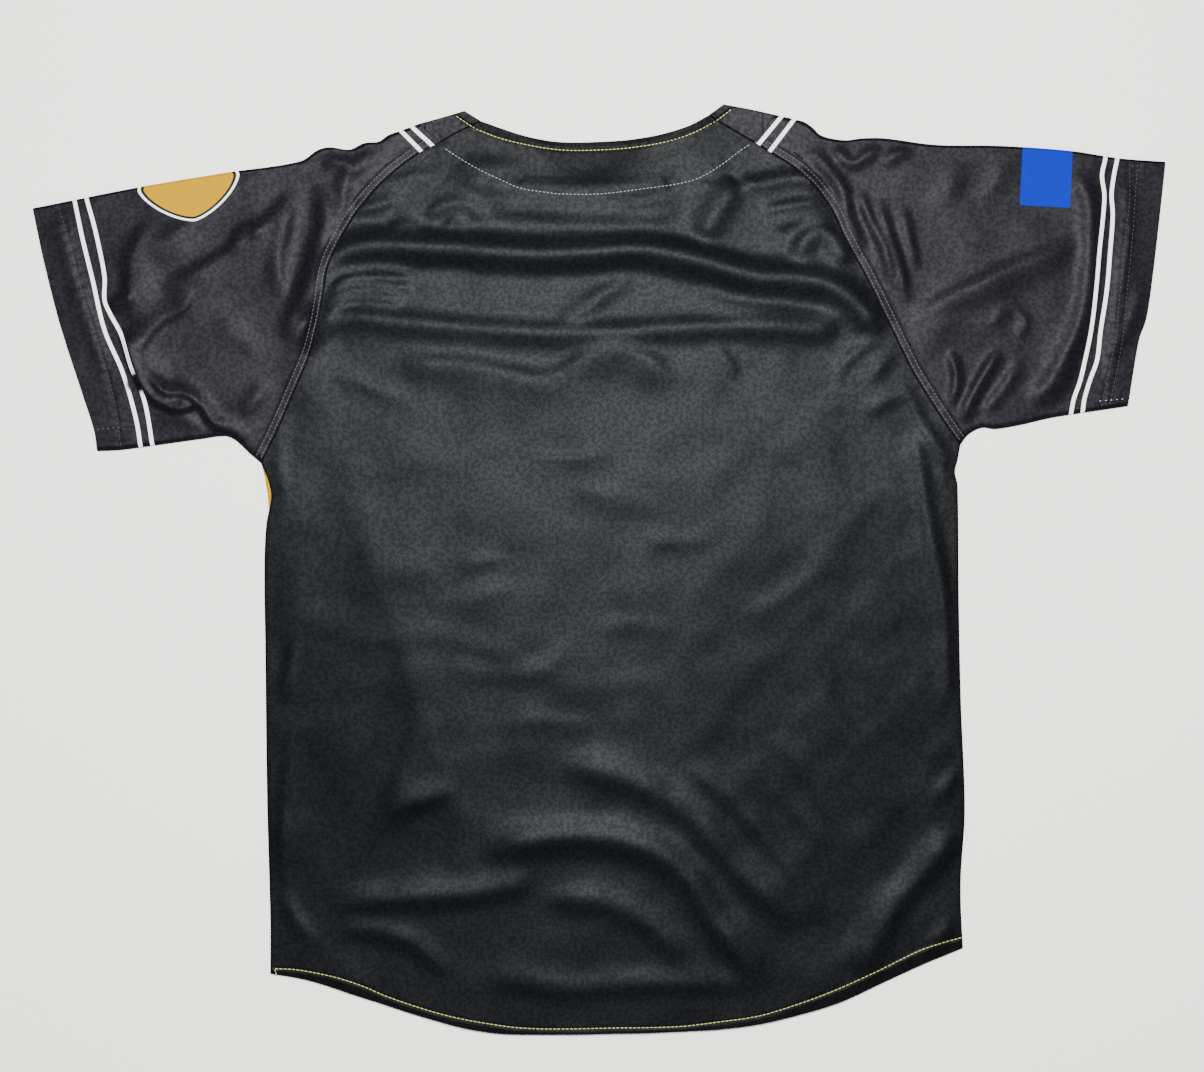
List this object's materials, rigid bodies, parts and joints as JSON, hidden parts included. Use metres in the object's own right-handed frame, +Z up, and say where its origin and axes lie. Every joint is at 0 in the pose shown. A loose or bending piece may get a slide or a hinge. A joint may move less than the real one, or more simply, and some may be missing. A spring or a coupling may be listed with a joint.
{
  "type": "baseball jersey",
  "caption": "Short-sleeved baseball jersey with raglan sleeves, a curved tail and a buttoned front, laid flat and face down.",
  "frame": {"origin": "middle of the jersey's outline, on the surface it lies on", "axes": "+X towards the wearer's right sleeve, +Y towards the neck, +Z up, out of the back"},
  "size_m": [0.9442, 0.7753, 0.0102],
  "materials": {
    "body_cloth": "matte mesh knit",
    "sleeve_cloth": "smooth knit",
    "button": "satin"
  },
  "bodies": {
    "root": {"back": "body_cloth", "front_left": "body_cloth", "front_right": "body_cloth", "placket": "body_cloth", "button_1": "button", "button_2": "button", "button_3": "button", "button_4": "button", "button_5": "button", "button_6": "button", "sleeve_left": "sleeve_cloth", "sleeve_right": "sleeve_cloth", "shoulder_left": "sleeve_cloth", "shoulder_right": "sleeve_cloth"}
  },
  "joints": []
}
